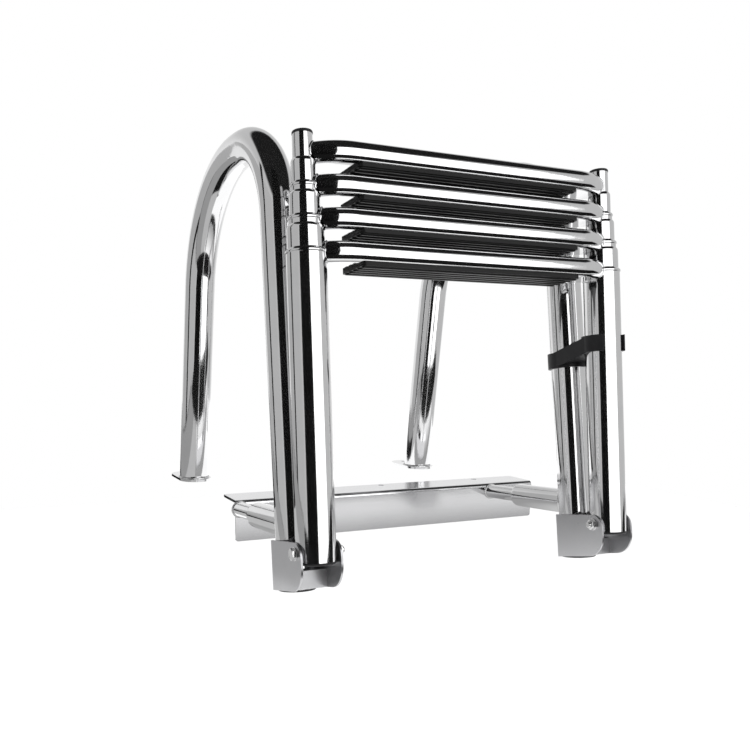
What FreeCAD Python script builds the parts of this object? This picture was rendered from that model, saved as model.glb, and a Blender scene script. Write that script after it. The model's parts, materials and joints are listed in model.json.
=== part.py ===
import FreeCAD, Part
import math
import os
import Sketcher

# Telescoping four-step boat ladder on two hoop handrails, shown stowed.
# Frame: X along the steps, Y from the water towards the boat, Z up, in millimetres.
# The origin is under the middle of the edge angle's deck flange, midway between the rails.
# Z = 0 is the deck. Lengths along Y are given from the platform's edge and moved by the flange's half.

# Driving dimensions
SIZES = (
    ("rail_spacing", 355.0, "between the two handrails, and between the ladder's stiles"),
    ("rail_diameter", 38.1, "outside of the handrail tube"),
    ("tube_wall", 1.2, "wall of every ladder and handrail tube"),
    ("rail_angle", 8.8, "degrees that a front leg leans back"),
    ("front_leg_reach", 160.2, "platform edge to the front leg's axis, at deck level"),
    ("rear_leg_reach", 180.7, "platform edge to the rear leg's axis, at deck level"),
    ("rear_leg_angle", 6.5, "degrees that a rear leg leans forward"),
    ("hoop_height", 393.2, "deck to the hoop's axis at its top"),
    ("front_bend", 102.0, "bend radius over the front leg"),
    ("rear_bend", 155.0, "bend radius over the rear leg"),
    ("rail_drop", 53.5, "front leg's length below the deck level"),
    ("rail_plug_lip", 2.0, "thickness of the plug's lip under the front leg"),
    ("plug_chamfer", 1.0, "chamfer under a plug's lip"),
    ("plug_depth", 12.0, "how far a plug goes into its tube"),
    ("sheet", 3.0, "thickness of the angle and the foot plates"),
    ("ear_sheet", 2.0, "thickness of a bracket's sheet"),
    ("foot_width", 43.0, "width of a foot plate"),
    ("foot_length", 81.0, "length of a foot plate"),
    ("foot_shift", 13.0, "foot plate's centre behind the rear leg"),
    ("foot_hole_shift", 25.0, "screw hole behind the foot plate's centre"),
    ("foot_hole", 6.6, "diameter of the screw hole in a foot plate"),
    ("angle_left", 182.0, "edge angle's reach to the left"),
    ("angle_right", 245.0, "edge angle's reach to the right"),
    ("angle_flange", 43.0, "flange that lies on the deck"),
    ("angle_drop", 45.0, "flange that hangs over the platform's edge"),
    ("angle_corner", 3.0, "rounding of the angle's free corners"),
    ("angle_bend", 1.5, "inside radius of the angle's fold"),
    ("angle_hole", 7.0, "diameter of the screw holes in the angle"),
    ("angle_hole_pitch", 146.0, "between two screw holes of the angle"),
    ("angle_hole_edge", 8.0, "screw hole to the angle's back edge"),
    ("arm_angle", 4.8, "degrees that a stand-off arm slopes down towards the angle"),
    ("arm_height", -7.0, "arm's axis on the front of the angle, from the deck"),
    ("sleeve_diameter", 28.0, "outside of an arm's sleeve"),
    ("sleeve_wall", 1.5, "wall of an arm's sleeve"),
    ("sleeve_shoulder", 5.0, "length over which the sleeve's mouth is spun in"),
    ("sleeve_land", 14.0, "length of the mouth that guides the inner tube"),
    ("sleeve_rim", 0.5, "width of the mouth's rim"),
    ("arm_diameter", 17.5, "outside of an arm's inner tube"),
    ("arm_gap", 0.1, "between an arm's inner tube and its sleeve"),
    ("sleeve_mouth", 58.5, "platform edge to the mouth of the sleeve"),
    ("arm_overlap", 40.0, "inner tube's length inside the sleeve"),
    ("bolt_reach", 47.5, "front leg's axis to the hinge bolt"),
    ("bolt_drop", 15.2, "hinge bolt below the deck level, along the leg"),
    ("bolt_diameter", 6.0, "hinge bolt's shank"),
    ("bolt_flats", 10.0, "across the flats of the bolt's head and nut"),
    ("bolt_head", 4.0, "height of the bolt's head"),
    ("bolt_tail", 2.5, "bolt's end beyond its nut"),
    ("nut_height", 5.0, "height of the nut"),
    ("hinge_gap", 0.05, "between the bolt and the bore of the stile"),
    ("ear_gap", 0.3, "between the stile and an ear of its bracket"),
    ("ear_back", 9.5, "ear's back edge behind the front leg's axis"),
    ("ear_front", 60.5, "ear's front edge before the front leg's axis"),
    ("ear_top", 6.5, "ear's top edge below the deck level, at its back"),
    ("ear_top_rise", 2.2, "how much higher that edge is at its front"),
    ("ear_bottom", 55.0, "ear's bottom edge below the deck level, at its back"),
    ("ear_bottom_rise", 6.3, "how much higher that edge is at its front"),
    ("ear_top_round", 14.5, "rounding of an ear's upper front corner"),
    ("ear_bottom_round", 24.0, "rounding of an ear's lower front corner"),
    ("web_height", 20.7, "height of the web that joins the ears"),
    ("web_gap", 0.4, "between the web and the lowered stile"),
    ("ladder_angle", 6.6, "degrees that the stowed ladder leans back"),
    ("second_diameter", 31.75, "outside of the second section's tube"),
    ("third_diameter", 25.4, "outside of the third section's tube"),
    ("inner_diameter", 19.05, "outside of the innermost tube"),
    ("stile_foot", 7.8, "outer stile's end below the hinge bolt"),
    ("stile_plug_lip", 2.6, "thickness of the plug's lip under the outer stile"),
    ("stile_plug_depth", 3.5, "how far that plug goes into the stile"),
    ("first_step", 275.0, "hinge bolt to the outer section's step"),
    ("step_pitch", 30.4, "between two steps of the closed ladder"),
    ("neck_rise", 24.7, "neck's end beyond its step"),
    ("neck_cut", 1.3, "how much smaller a neck's radius is than its tube's"),
    ("bead", 0.8, "how far the bead stands out where a neck starts"),
    ("bead_height", 3.4, "height of that bead"),
    ("neck_shoulder", 3.5, "height over which a neck's end is spun in"),
    ("neck_land", 0.3, "width of a neck's rim"),
    ("neck_gap", 0.25, "between a neck's rim and the tube that slides in it"),
    ("bush_depth", 14.0, "height of the bush inside a neck"),
    ("slide_gap", 0.05, "between a tube and the bush that guides it"),
    ("section_start", 11.5, "hinge bolt to the lower end of the second tube"),
    ("swage_length", 11.0, "length of the swaged hidden end that slides in the tube around it"),
    ("swage_taper", 3.0, "height over which a swaged end narrows to its tube"),
    ("inner_top", 382.9, "hinge bolt to the upper end of the innermost tube"),
    ("cap_lip", 4.0, "height of the cap on the innermost tube"),
    ("cap_grip", 0.3, "cap's edge beyond the tube"),
    ("cap_round", 1.6, "rounding of the cap's edge"),
    ("cap_dome", 1.0, "height of the cap's dome"),
    ("step_height", 20.0, "height of a step's section"),
    ("step_depth", 51.0, "depth of a step, front to back"),
    ("step_shift", 0.5, "step's centre behind the stile's axis"),
    ("step_turn", 44.5, "stile's axis to the start of a step's corner rounding"),
    ("step_corner", 63.0, "rounding of a step's corners, seen from above"),
    ("step_edge", 9.4, "rounding of a step's edges"),
    ("step_wall", 1.5, "wall of a step"),
    ("step_end", 2.0, "step's rounded end beyond the stile's axis, before it is coped"),
    ("neck_clearance", 0.6, "between a step's end and the neck below it"),
    ("pad_inset", 48.5, "tread pad's end to the stile's axis"),
    ("pad_depth", 45.0, "depth of a tread pad"),
    ("pad_height", 2.8, "height of a tread pad"),
    ("pad_wrap", 2.4, "tread pad's rim above the step's flat face"),
    ("pad_corner", 4.5, "rounding of a tread pad's corners"),
    ("pad_shift", 2.5, "tread pad's centre behind the stile's axis"),
    ("clip_height", 17.5, "height of the retaining clip's band"),
    ("clip_wall", 3.0, "thickness of the clip's band"),
    ("clip_level", 196.8, "hinge bolt to the clip's jaw, along the stile"),
    ("clip_slope", 11.5, "how much lower the clip's ring sits on the rail"),
    ("clip_gap", 0.3, "between the clip and a tube"),
    ("clip_mouth", 29.4, "opening of the clip's jaw"),
    ("clip_flank", 0.5, "flank of the web inside the clip's round ends"),
)

NODE_FOLDER = "parts"
SIDES = (("left", -1.0), ("right", 1.0))
AXIS_X = FreeCAD.Vector(1, 0, 0)
AXIS_Y = FreeCAD.Vector(0, 1, 0)
AXIS_Z = FreeCAD.Vector(0, 0, 1)

doc = FreeCAD.newDocument("boat_ladder")
sheet = doc.addObject("Spreadsheet::Sheet", "Sizes")
for row, (name, value, meaning) in enumerate(SIZES, start=1):
    sheet.set("A%d" % row, name)
    sheet.set("B%d" % row, str(value))
    sheet.set("C%d" % row, meaning)
    sheet.setAlias("B%d" % row, name)
doc.recompute()

nodes = []


# Helpers

def size(name):
    """A driving dimension as a number."""
    return float(sheet.get(name))


def value(expression):
    """An expression over the sheet as a number."""
    return float(sheet.evalExpression(expression))


def new_body(label, placement=None):
    """An empty body that becomes one node."""
    body = doc.addObject("PartDesign::Body", label)
    body.Label = label
    if placement is not None:
        body.Placement = placement
    nodes.append(body)
    return body


def origin_plane(body, role):
    """One of the body's own origin planes."""
    return [item for item in body.Origin.OriginFeatures if item.Role == role][0]


def new_sketch(body, name, role):
    """An empty sketch on an origin plane of the body."""
    sketch = body.newObject("Sketcher::SketchObject", name)
    sketch.AttachmentSupport = [(origin_plane(body, role), "")]
    sketch.MapMode = "FlatFace"
    return sketch


def bind(sketch, kind, members, expression):
    """A dimension of the sketch that follows the sheet, set to its value from the start."""
    start = value(expression)
    if kind == "Angle":
        start = math.radians(start)
    index = sketch.addConstraint(Sketcher.Constraint(kind, *members, start))
    sketch.setExpression("Constraints[%d]" % index, expression)


def bulge(first, last, radius):
    """The short arc from first to last that turns to the left, as anticlockwise outlines do."""
    chord = last - first
    reach = math.sqrt(radius * radius - chord.Length * chord.Length / 4.0)
    inward = FreeCAD.Vector(-chord.y, chord.x, 0).normalize()
    centre = (first + last) / 2.0 + inward * reach
    circle = Part.Circle(centre, AXIS_Z, radius)
    return Part.ArcOfCircle(circle, circle.parameter(first), circle.parameter(last))


def draw(sketch, corners):
    """A closed anticlockwise outline; a corner's third entry is the radius of the arc after it."""
    count = len(corners)
    start = [FreeCAD.Vector(value(corner[0]), value(corner[1]), 0) for corner in corners]
    for k, corner in enumerate(corners):
        first, last = start[k], start[(k + 1) % count]
        if len(corner) > 2:
            sketch.addGeometry(bulge(first, last, value(corner[2])))
        else:
            sketch.addGeometry(Part.LineSegment(first, last))
    for k in range(count):
        sketch.addConstraint(Sketcher.Constraint("Coincident", k, 2, (k + 1) % count, 1))
    for k, corner in enumerate(corners):
        bind(sketch, "DistanceX", (-1, 1, k, 1), corner[0])
        bind(sketch, "DistanceY", (-1, 1, k, 1), corner[1])
        if len(corner) > 2:
            bind(sketch, "Radius", (k,), corner[2])
    return sketch


def outline(body, name, role, corners):
    """A closed outline on an origin plane of the body."""
    return draw(new_sketch(body, name, role), corners)


def circles(body, name, role, rings):
    """Circles given as centre and radius expressions."""
    sketch = new_sketch(body, name, role)
    for k, (across, up, radius) in enumerate(rings):
        centre = FreeCAD.Vector(value(across), value(up), 0)
        sketch.addGeometry(Part.Circle(centre, AXIS_Z, value(radius)))
        bind(sketch, "DistanceX", (-1, 1, k, 3), across)
        bind(sketch, "DistanceY", (-1, 1, k, 3), up)
        bind(sketch, "Radius", (k,), radius)
    return sketch


def oblong(body, name, role, centre_run, radius, shift, along_up=False):
    """A long outline with half-round ends, its centres half of centre_run from its middle."""
    sketch = new_sketch(body, name, role)
    for sign in (1.0, -1.0):
        run = value(shift) + sign * value(centre_run) / 2.0
        centre = FreeCAD.Vector(0, run, 0) if along_up else FreeCAD.Vector(run, 0, 0)
        circle = Part.Circle(centre, AXIS_Z, value(radius))
        first = (0.0 if along_up else -math.pi / 2.0) + (0.0 if sign > 0 else math.pi)
        sketch.addGeometry(Part.ArcOfCircle(circle, first, first + math.pi))
    ends = [(arc.StartPoint, arc.EndPoint) for arc in sketch.Geometry]
    sketch.addGeometry(Part.LineSegment(ends[0][1], ends[1][0]))
    sketch.addGeometry(Part.LineSegment(ends[1][1], ends[0][0]))
    sketch.addConstraint(Sketcher.Constraint("Tangent", 0, 2, 2, 1))
    sketch.addConstraint(Sketcher.Constraint("Tangent", 2, 2, 1, 1))
    sketch.addConstraint(Sketcher.Constraint("Tangent", 1, 2, 3, 1))
    sketch.addConstraint(Sketcher.Constraint("Tangent", 3, 2, 0, 1))
    sketch.addConstraint(Sketcher.Constraint("Equal", 0, 1))
    bind(sketch, "Radius", (0,), radius)
    long_way = "DistanceY" if along_up else "DistanceX"
    short_way = "DistanceX" if along_up else "DistanceY"
    bind(sketch, long_way, (-1, 1, 0, 3), "%s + (%s) / 2" % (shift, centre_run))
    bind(sketch, long_way, (-1, 1, 1, 3), "%s - (%s) / 2" % (shift, centre_run))
    bind(sketch, short_way, (-1, 1, 0, 3), "0 mm")
    return sketch


def feature(body, kind, name, sketch, **settings):
    """A sketch-based feature with plain settings."""
    made = body.newObject("PartDesign::" + kind, name)
    made.Profile = sketch
    for key, value in settings.items():
        setattr(made, key, value)
    return made


def pad(body, name, sketch, length, both_ways=False, reverse=False):
    """A pad whose length follows the sheet."""
    made = feature(body, "Pad", name, sketch, Midplane=both_ways, Reversed=reverse)
    made.setExpression("Length", length)
    return made


def pocket(body, name, sketch, length=None, both_ways=False, reverse=False):
    """A pocket whose depth follows the sheet, or that goes through everything."""
    made = feature(body, "Pocket", name, sketch, Midplane=both_ways, Reversed=reverse)
    if length is None:
        made.Type = "ThroughAll"
    else:
        made.setExpression("Length", length)
    return made


def revolve(body, name, sketch):
    """A full turn of the sketch about the body's own upright axis."""
    return feature(body, "Revolution", name, sketch, ReferenceAxis=(sketch, ["V_Axis"]), Angle=360.0)


def round_edges(body, name, base, radius, wanted):
    """Rounds the base's edges that the given test picks."""
    doc.recompute()
    picked = []
    for k, edge in enumerate(base.Shape.Edges, start=1):
        if wanted(edge):
            picked.append("Edge%d" % k)
    made = body.newObject("PartDesign::Fillet", name)
    made.Base = (base, picked)
    made.setExpression("Radius", radius)
    return made


def edge_runs(edge, direction):
    """Whether an edge is straight and runs along the direction."""
    if not isinstance(edge.Curve, Part.Line):
        return False
    return abs(abs(edge.Curve.Direction.dot(direction)) - 1.0) < 1e-6


def near(first, second):
    """Whether two lengths are the same."""
    return abs(first - second) < 1e-5


def middle(edge):
    """The middle point of an edge."""
    low, high = edge.ParameterRange
    return edge.valueAt((low + high) / 2.0)


# Frames that the pieces stand in

def deck_frame(across=0.0, along=0.0, up=0.0):
    """An upright frame, with along counted from the platform's edge."""
    edge = -size("angle_flange") / 2.0
    return FreeCAD.Placement(FreeCAD.Vector(across, edge + along, up), FreeCAD.Rotation())


def rail_frame(side):
    """Origin on the front leg's axis at deck level, Z up the leg."""
    foot = deck_frame(side * size("rail_spacing") / 2.0, -size("front_leg_reach"))
    return FreeCAD.Placement(foot.Base, FreeCAD.Rotation(AXIS_X, -size("rail_angle")))


def ladder_frame(side):
    """Origin on the hinge bolt at the stile's axis, Z up the stowed stile."""
    pivot = rail_frame(side).multVec(FreeCAD.Vector(0, -size("bolt_reach"), -size("bolt_drop")))
    return FreeCAD.Placement(pivot, FreeCAD.Rotation(AXIS_X, -size("ladder_angle")))


def arm_frame(side):
    """Origin on the front of the edge angle at the arm's axis, Y along the arm."""
    front = deck_frame(side * size("rail_spacing") / 2.0, -size("sheet"), size("arm_height"))
    return FreeCAD.Placement(front.Base, FreeCAD.Rotation(AXIS_X, -size("arm_angle")))


# Hoop handrails: one bent tube each, cut level on its foot plate

def hoop_points():
    """Corner and tangent points of the hoop's axis, as (y, z) vectors."""
    lean_front = math.radians(size("rail_angle"))
    lean_rear = math.radians(size("rear_leg_angle"))
    up_front = FreeCAD.Vector(math.sin(lean_front), math.cos(lean_front), 0)
    up_rear = FreeCAD.Vector(-math.sin(lean_rear), math.cos(lean_rear), 0)
    foot_front = FreeCAD.Vector(-size("front_leg_reach"), 0, 0)
    foot_rear = FreeCAD.Vector(size("rear_leg_reach"), 0, 0)
    high_front = size("hoop_height") - size("front_bend")
    high_rear = size("hoop_height") - size("rear_bend")
    into_front = FreeCAD.Vector(up_front.y, -up_front.x, 0)
    into_rear = FreeCAD.Vector(-up_rear.y, up_rear.x, 0)
    along_front = (high_front - into_front.y * size("front_bend")) / up_front.y
    along_rear = (high_rear - into_rear.y * size("rear_bend")) / up_rear.y
    tangent_front = foot_front + up_front * along_front
    tangent_rear = foot_rear + up_rear * along_rear
    centre_front = tangent_front + into_front * size("front_bend")
    centre_rear = tangent_rear + into_rear * size("rear_bend")
    low_front = foot_front - up_front * size("rail_drop")
    low_rear = foot_rear - up_rear * size("sheet")
    return low_front, tangent_front, centre_front, centre_rear, tangent_rear, low_rear


def make_hoop(label, side):
    """The handrail's tube along a path of two legs and two tangent bends."""
    body = new_body(label, deck_frame(side * size("rail_spacing") / 2.0))
    low_front, turn_front, mid_front, mid_rear, turn_rear, low_rear = hoop_points()
    top_front = mid_front + FreeCAD.Vector(0, size("front_bend"), 0)
    top_rear = mid_rear + FreeCAD.Vector(0, size("rear_bend"), 0)
    path = new_sketch(body, label + "_path", "YZ_Plane")

    def bend(centre, radius, first, last):
        circle = Part.Circle(centre, AXIS_Z, radius)
        return Part.ArcOfCircle(circle, circle.parameter(first), circle.parameter(last))

    path.addGeometry(Part.LineSegment(low_front, turn_front))
    path.addGeometry(bend(mid_front, size("front_bend"), top_front, turn_front))
    path.addGeometry(Part.LineSegment(top_front, top_rear))
    path.addGeometry(bend(mid_rear, size("rear_bend"), turn_rear, top_rear))
    path.addGeometry(Part.LineSegment(turn_rear, low_rear))
    path.addConstraint(Sketcher.Constraint("Tangent", 0, 2, 1, 2))
    path.addConstraint(Sketcher.Constraint("Tangent", 1, 1, 2, 1))
    path.addConstraint(Sketcher.Constraint("Tangent", 2, 2, 3, 2))
    path.addConstraint(Sketcher.Constraint("Tangent", 3, 1, 4, 1))
    path.addConstraint(Sketcher.Constraint("Horizontal", 2))
    bind(path, "Radius", (1,), "Sizes.front_bend")
    bind(path, "Radius", (3,), "Sizes.rear_bend")
    lean = "Sizes.rail_angle * 1 deg"
    rear = "Sizes.rear_leg_angle * 1 deg"
    below = "Sizes.rail_drop"
    bind(path, "DistanceX", (-1, 1, 0, 1),
         "-Sizes.front_leg_reach - %s * sin(%s)" % (below, lean))
    bind(path, "DistanceY", (-1, 1, 0, 1), "-%s * cos(%s)" % (below, lean))
    bind(path, "DistanceX", (-1, 1, 4, 2),
         "Sizes.rear_leg_reach + Sizes.sheet * sin(%s)" % rear)
    bind(path, "DistanceY", (-1, 1, 4, 2), "-Sizes.sheet * cos(%s)" % rear)
    bind(path, "DistanceY", (-1, 1, 2, 1), "Sizes.hoop_height")
    bind(path, "Angle", (0,),
         "90 deg - %s" % lean)
    bind(path, "Angle", (4,),
         "%s - 90 deg" % rear)

    ring = body.newObject("Sketcher::SketchObject", label + "_section")
    ring.MapMode = "Deactivated"
    ring.Placement = FreeCAD.Placement(FreeCAD.Vector(0, low_front.x, low_front.y),
                                       FreeCAD.Rotation(AXIS_X, -size("rail_angle")))
    for k, radius in enumerate(("Sizes.rail_diameter / 2", "Sizes.rail_diameter / 2 - Sizes.tube_wall")):
        ring.addGeometry(Part.Circle(FreeCAD.Vector(0, 0, 0), AXIS_Z, 10.0 + k))
        ring.addConstraint(Sketcher.Constraint("Coincident", k, 3, -1, 1))
        bind(ring, "Radius", (k,), radius)
    tube = feature(body, "AdditivePipe", label + "_tube", ring, Spine=path)
    doc.recompute()
    level = outline(body, label + "_level", "YZ_Plane", (
        ("Sizes.rear_leg_reach - Sizes.rail_diameter", "Sizes.sheet"),
        ("Sizes.rear_leg_reach + Sizes.rail_diameter", "Sizes.sheet"),
        ("Sizes.rear_leg_reach + Sizes.rail_diameter", "-Sizes.rail_diameter"),
        ("Sizes.rear_leg_reach - Sizes.rail_diameter", "-Sizes.rail_diameter"),
    ))
    pocket(body, label + "_cut", level, "2 * Sizes.rail_diameter", both_ways=True)
    return tube


def make_foot_plate(label, side):
    """An oblong plate under the rear leg, with one screw hole behind the leg."""
    body = new_body(label, deck_frame(side * size("rail_spacing") / 2.0, size("rear_leg_reach")))
    shape = oblong(body, label + "_outline", "XY_Plane", "Sizes.foot_length - Sizes.foot_width",
                   "Sizes.foot_width / 2", "Sizes.foot_shift", along_up=True)
    pad(body, label + "_plate", shape, "Sizes.sheet")
    hole = circles(body, label + "_hole", "XY_Plane",
                   (("0 mm", "Sizes.foot_shift + Sizes.foot_hole_shift", "Sizes.foot_hole / 2"),))
    pocket(body, label + "_bore", hole, reverse=True)


def make_rail_plug(label, side):
    """A plug in the lower end of a front leg."""
    body = new_body(label, rail_frame(side))
    inside = "Sizes.rail_diameter / 2 - Sizes.tube_wall - Sizes.slide_gap"
    shape = outline(body, label + "_half", "XZ_Plane", (
        ("0 mm", "-Sizes.rail_drop - Sizes.rail_plug_lip"),
        ("Sizes.rail_diameter / 2 - Sizes.plug_chamfer", "-Sizes.rail_drop - Sizes.rail_plug_lip"),
        ("Sizes.rail_diameter / 2", "-Sizes.rail_drop - Sizes.rail_plug_lip + Sizes.plug_chamfer"),
        ("Sizes.rail_diameter / 2", "-Sizes.rail_drop"),
        (inside, "-Sizes.rail_drop"),
        (inside, "-Sizes.rail_drop + Sizes.plug_depth"),
        ("0 mm", "-Sizes.rail_drop + Sizes.plug_depth"),
    ))
    revolve(body, label + "_turned", shape)


# Edge angle and stand-off arms

def make_edge_angle(label):
    """The folded angle that sits over the platform's edge."""
    body = new_body(label, deck_frame(-size("angle_left")))
    shape = outline(body, label + "_profile", "YZ_Plane", (
        ("0 mm", "0 mm"),
        ("Sizes.angle_flange", "0 mm"),
        ("Sizes.angle_flange", "Sizes.sheet"),
        ("-Sizes.sheet", "Sizes.sheet"),
        ("-Sizes.sheet", "-Sizes.angle_drop"),
        ("0 mm", "-Sizes.angle_drop"),
    ))
    made = pad(body, label + "_folded", shape, "Sizes.angle_left + Sizes.angle_right")
    thick = size("sheet")
    fold = round_edges(body, label + "_inner_fold", made, "Sizes.angle_bend", lambda edge:
                       edge_runs(edge, AXIS_X) and near(middle(edge).y, 0) and near(middle(edge).z, 0))
    fold = round_edges(body, label + "_outer_fold", fold, "Sizes.angle_bend + Sizes.sheet", lambda edge:
                       edge_runs(edge, AXIS_X) and near(middle(edge).y, -thick)
                       and near(middle(edge).z, thick))
    round_edges(body, label + "_corners", fold, "Sizes.angle_corner", lambda edge:
                edge.Length < thick + 1e-6 and not edge_runs(edge, AXIS_X)
                and (middle(edge).y > thick or middle(edge).z < -thick))
    holes = circles(body, label + "_holes", "XY_Plane", [
        ("(Sizes.angle_right + Sizes.angle_left) / 2 + %d * Sizes.angle_hole_pitch" % k,
         "Sizes.angle_flange - Sizes.angle_hole_edge", "Sizes.angle_hole / 2") for k in (-1, 0, 1)])
    pocket(body, label + "_drilled", holes, "Sizes.sheet", reverse=True)


LEG_LEAN = "(Sizes.rail_angle * 1 deg)"
ARM_SLOPE = "(Sizes.arm_angle * 1 deg)"
ARM_LEVEL = "((Sizes.front_leg_reach - Sizes.sheet) * cos(%s))" % LEG_LEAN
ARM_RUN = "((%s - Sizes.arm_height * sin(%s)) / cos(%s - %s))" % (ARM_LEVEL, LEG_LEAN, ARM_SLOPE, LEG_LEAN)


def make_arm(sleeve_label, inner_label, side):
    """The sleeve on the front leg, its mouth spun in, and the inner tube that runs to the angle."""
    frame = arm_frame(side)
    way = frame.Rotation.multVec(FreeCAD.Vector(0, -1, 0))
    along = FreeCAD.Rotation(AXIS_Z, way)
    sleeve = doc.addObject("PartDesign::Body", sleeve_label + "_tube")
    sleeve.Placement = FreeCAD.Placement(frame.Base + way * value("Sizes.sleeve_mouth - Sizes.sheet"), along)
    outside = "(Sizes.sleeve_diameter / 2)"
    bore = "(Sizes.arm_diameter / 2 + Sizes.arm_gap)"
    spun = "(%s - %s - Sizes.sleeve_rim)" % (outside, bore)
    end = ARM_RUN + " - Sizes.sleeve_mouth + Sizes.sheet"
    shape = outline(sleeve, sleeve_label + "_half", "XZ_Plane", (
        (bore, "0 mm"),
        (bore + " + Sizes.sleeve_rim", "0 mm", "((Sizes.sleeve_shoulder ^ 2 + %s ^ 2) / 2 / %s)" % (spun, spun)),
        (outside, "Sizes.sleeve_shoulder"),
        (outside, end),
        (outside + " - Sizes.sleeve_wall", end),
        (outside + " - Sizes.sleeve_wall", "Sizes.sleeve_land"),
        (bore, "Sizes.sleeve_land"),
    ))
    revolve(sleeve, sleeve_label + "_turned", shape)
    leg = doc.addObject("Part::Cylinder", sleeve_label + "_leg")
    leg.setExpression("Radius", "Sizes.rail_diameter / 2")
    leg.setExpression("Height", "4 * Sizes.rail_diameter")
    stand = rail_frame(side)
    leg.Placement = FreeCAD.Placement(stand.multVec(FreeCAD.Vector(0, 0, -2 * size("rail_diameter"))),
                                      stand.Rotation)
    cut = doc.addObject("Part::Cut", sleeve_label)
    cut.Base = sleeve
    cut.Tool = leg
    cut.Label = sleeve_label
    nodes.append(cut)

    rod = doc.addObject("Part::Cylinder", inner_label + "_outside")
    rod.setExpression("Radius", "Sizes.arm_diameter / 2")
    rod.setExpression("Height", "Sizes.sleeve_mouth + Sizes.arm_overlap + Sizes.sheet")
    rod.Placement = FreeCAD.Placement(frame.Base - way * 2 * size("sheet"), along)
    hollow = doc.addObject("Part::Cylinder", inner_label + "_inside")
    hollow.setExpression("Radius", "Sizes.arm_diameter / 2 - Sizes.tube_wall")
    hollow.setExpression("Height", "Sizes.sleeve_mouth + Sizes.arm_overlap + Sizes.sheet")
    hollow.Placement = rod.Placement
    wall = doc.addObject("Part::Box", inner_label + "_edge")
    wall.setExpression("Length", "2 * Sizes.arm_diameter")
    wall.setExpression("Width", "2 * Sizes.arm_diameter")
    wall.setExpression("Height", "4 * Sizes.arm_diameter")
    wall.Placement = deck_frame(frame.Base.x - size("arm_diameter"), -size("sheet"),
                                -2 * size("arm_diameter"))
    tools = doc.addObject("Part::MultiFuse", inner_label + "_cuts")
    tools.Shapes = [hollow, wall]
    cut = doc.addObject("Part::Cut", inner_label)
    cut.Base = rod
    cut.Tool = tools
    cut.Label = inner_label
    nodes.append(cut)


# Hinge

EAR_INSIDE = "(Sizes.rail_diameter / 2 + Sizes.ear_gap)"
EAR_OUTSIDE = "(Sizes.rail_diameter / 2 + Sizes.ear_gap + Sizes.ear_sheet)"
WEB_FRONT = "(-Sizes.bolt_reach + Sizes.rail_diameter / 2 + Sizes.web_gap)"


def make_bracket(label, side):
    """Two ears joined by a low web, square to the front leg."""
    body = new_body(label, rail_frame(side))
    shape = outline(body, label + "_ear", "YZ_Plane", (
        ("Sizes.ear_back", "-Sizes.ear_bottom"),
        ("Sizes.ear_back", "-Sizes.ear_top"),
        ("-Sizes.ear_front", "-Sizes.ear_top + Sizes.ear_top_rise"),
        ("-Sizes.ear_front", "-Sizes.ear_bottom + Sizes.ear_bottom_rise"),
    ))
    block = pad(body, label + "_width", shape, "2 * " + EAR_OUTSIDE, both_ways=True)
    front = -size("ear_front")
    centre = -(size("ear_top") + size("ear_bottom")) / 2.0
    rounded = round_edges(body, label + "_upper_corner", block, "Sizes.ear_top_round", lambda edge:
                          edge_runs(edge, AXIS_X) and near(middle(edge).y, front)
                          and middle(edge).z > centre)
    rounded = round_edges(body, label + "_lower_corner", rounded, "Sizes.ear_bottom_round", lambda edge:
                          edge_runs(edge, AXIS_X) and near(middle(edge).y, front)
                          and middle(edge).z < centre)
    space = outline(body, label + "_space", "YZ_Plane", (
        ("2 * Sizes.ear_back", "0 mm"),
        ("-2 * Sizes.ear_front", "0 mm"),
        ("-2 * Sizes.ear_front", "-2 * Sizes.ear_bottom"),
        (WEB_FRONT, "-2 * Sizes.ear_bottom"),
        (WEB_FRONT, "-Sizes.ear_bottom + Sizes.web_height"),
        (WEB_FRONT + " + Sizes.ear_sheet", "-Sizes.ear_bottom + Sizes.web_height"),
        (WEB_FRONT + " + Sizes.ear_sheet", "-2 * Sizes.ear_bottom"),
        ("2 * Sizes.ear_back", "-2 * Sizes.ear_bottom"),
    ))
    pocket(body, label + "_opened", space, "2 * " + EAR_INSIDE, both_ways=True)
    hole = circles(body, label + "_bolt_hole", "YZ_Plane",
                   (("-Sizes.bolt_reach", "-Sizes.bolt_drop", "Sizes.bolt_diameter / 2"),))
    pocket(body, label + "_drilled", hole, "4 * Sizes.rail_diameter", both_ways=True)


def make_hinge_bolt(label, side):
    """Hexagon bolt through both ears, its head on the outer side and its nut on the inner one."""
    inward = AXIS_X * -side
    turn = FreeCAD.Rotation(AXIS_Z, inward)
    width = value("2 * " + EAR_OUTSIDE)
    start = ladder_frame(side).Base - inward * width / 2.0
    shank = doc.addObject("Part::Cylinder", label + "_shank")
    shank.setExpression("Radius", "Sizes.bolt_diameter / 2")
    shank.setExpression("Height", "2 * %s + Sizes.nut_height + Sizes.bolt_tail" % EAR_OUTSIDE)
    shank.Placement = FreeCAD.Placement(start, turn)
    parts = [shank]
    for name, run, height in (("_head", -size("bolt_head"), "Sizes.bolt_head"),
                              ("_nut", width, "Sizes.nut_height")):
        hexagon = doc.addObject("Part::Prism", label + name)
        hexagon.Polygon = 6
        hexagon.setExpression("Circumradius", "Sizes.bolt_flats / 2 / cos(30 deg)")
        hexagon.setExpression("Height", height)
        hexagon.Placement = FreeCAD.Placement(start + inward * run, turn)
        parts.append(hexagon)
    whole = doc.addObject("Part::MultiFuse", label)
    whole.Shapes = parts
    whole.Label = label
    nodes.append(whole)


# Telescoping sections, from the outer one to the innermost

SECTIONS = ("outer", "second", "third", "inner")
BEAD_ROUND = "((Sizes.bead_height ^ 2 / 4 + Sizes.bead ^ 2) / 2 / Sizes.bead)"
DIAMETER = {
    "outer": "Sizes.rail_diameter",
    "second": "Sizes.second_diameter",
    "third": "Sizes.third_diameter",
    "inner": "Sizes.inner_diameter",
}


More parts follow.
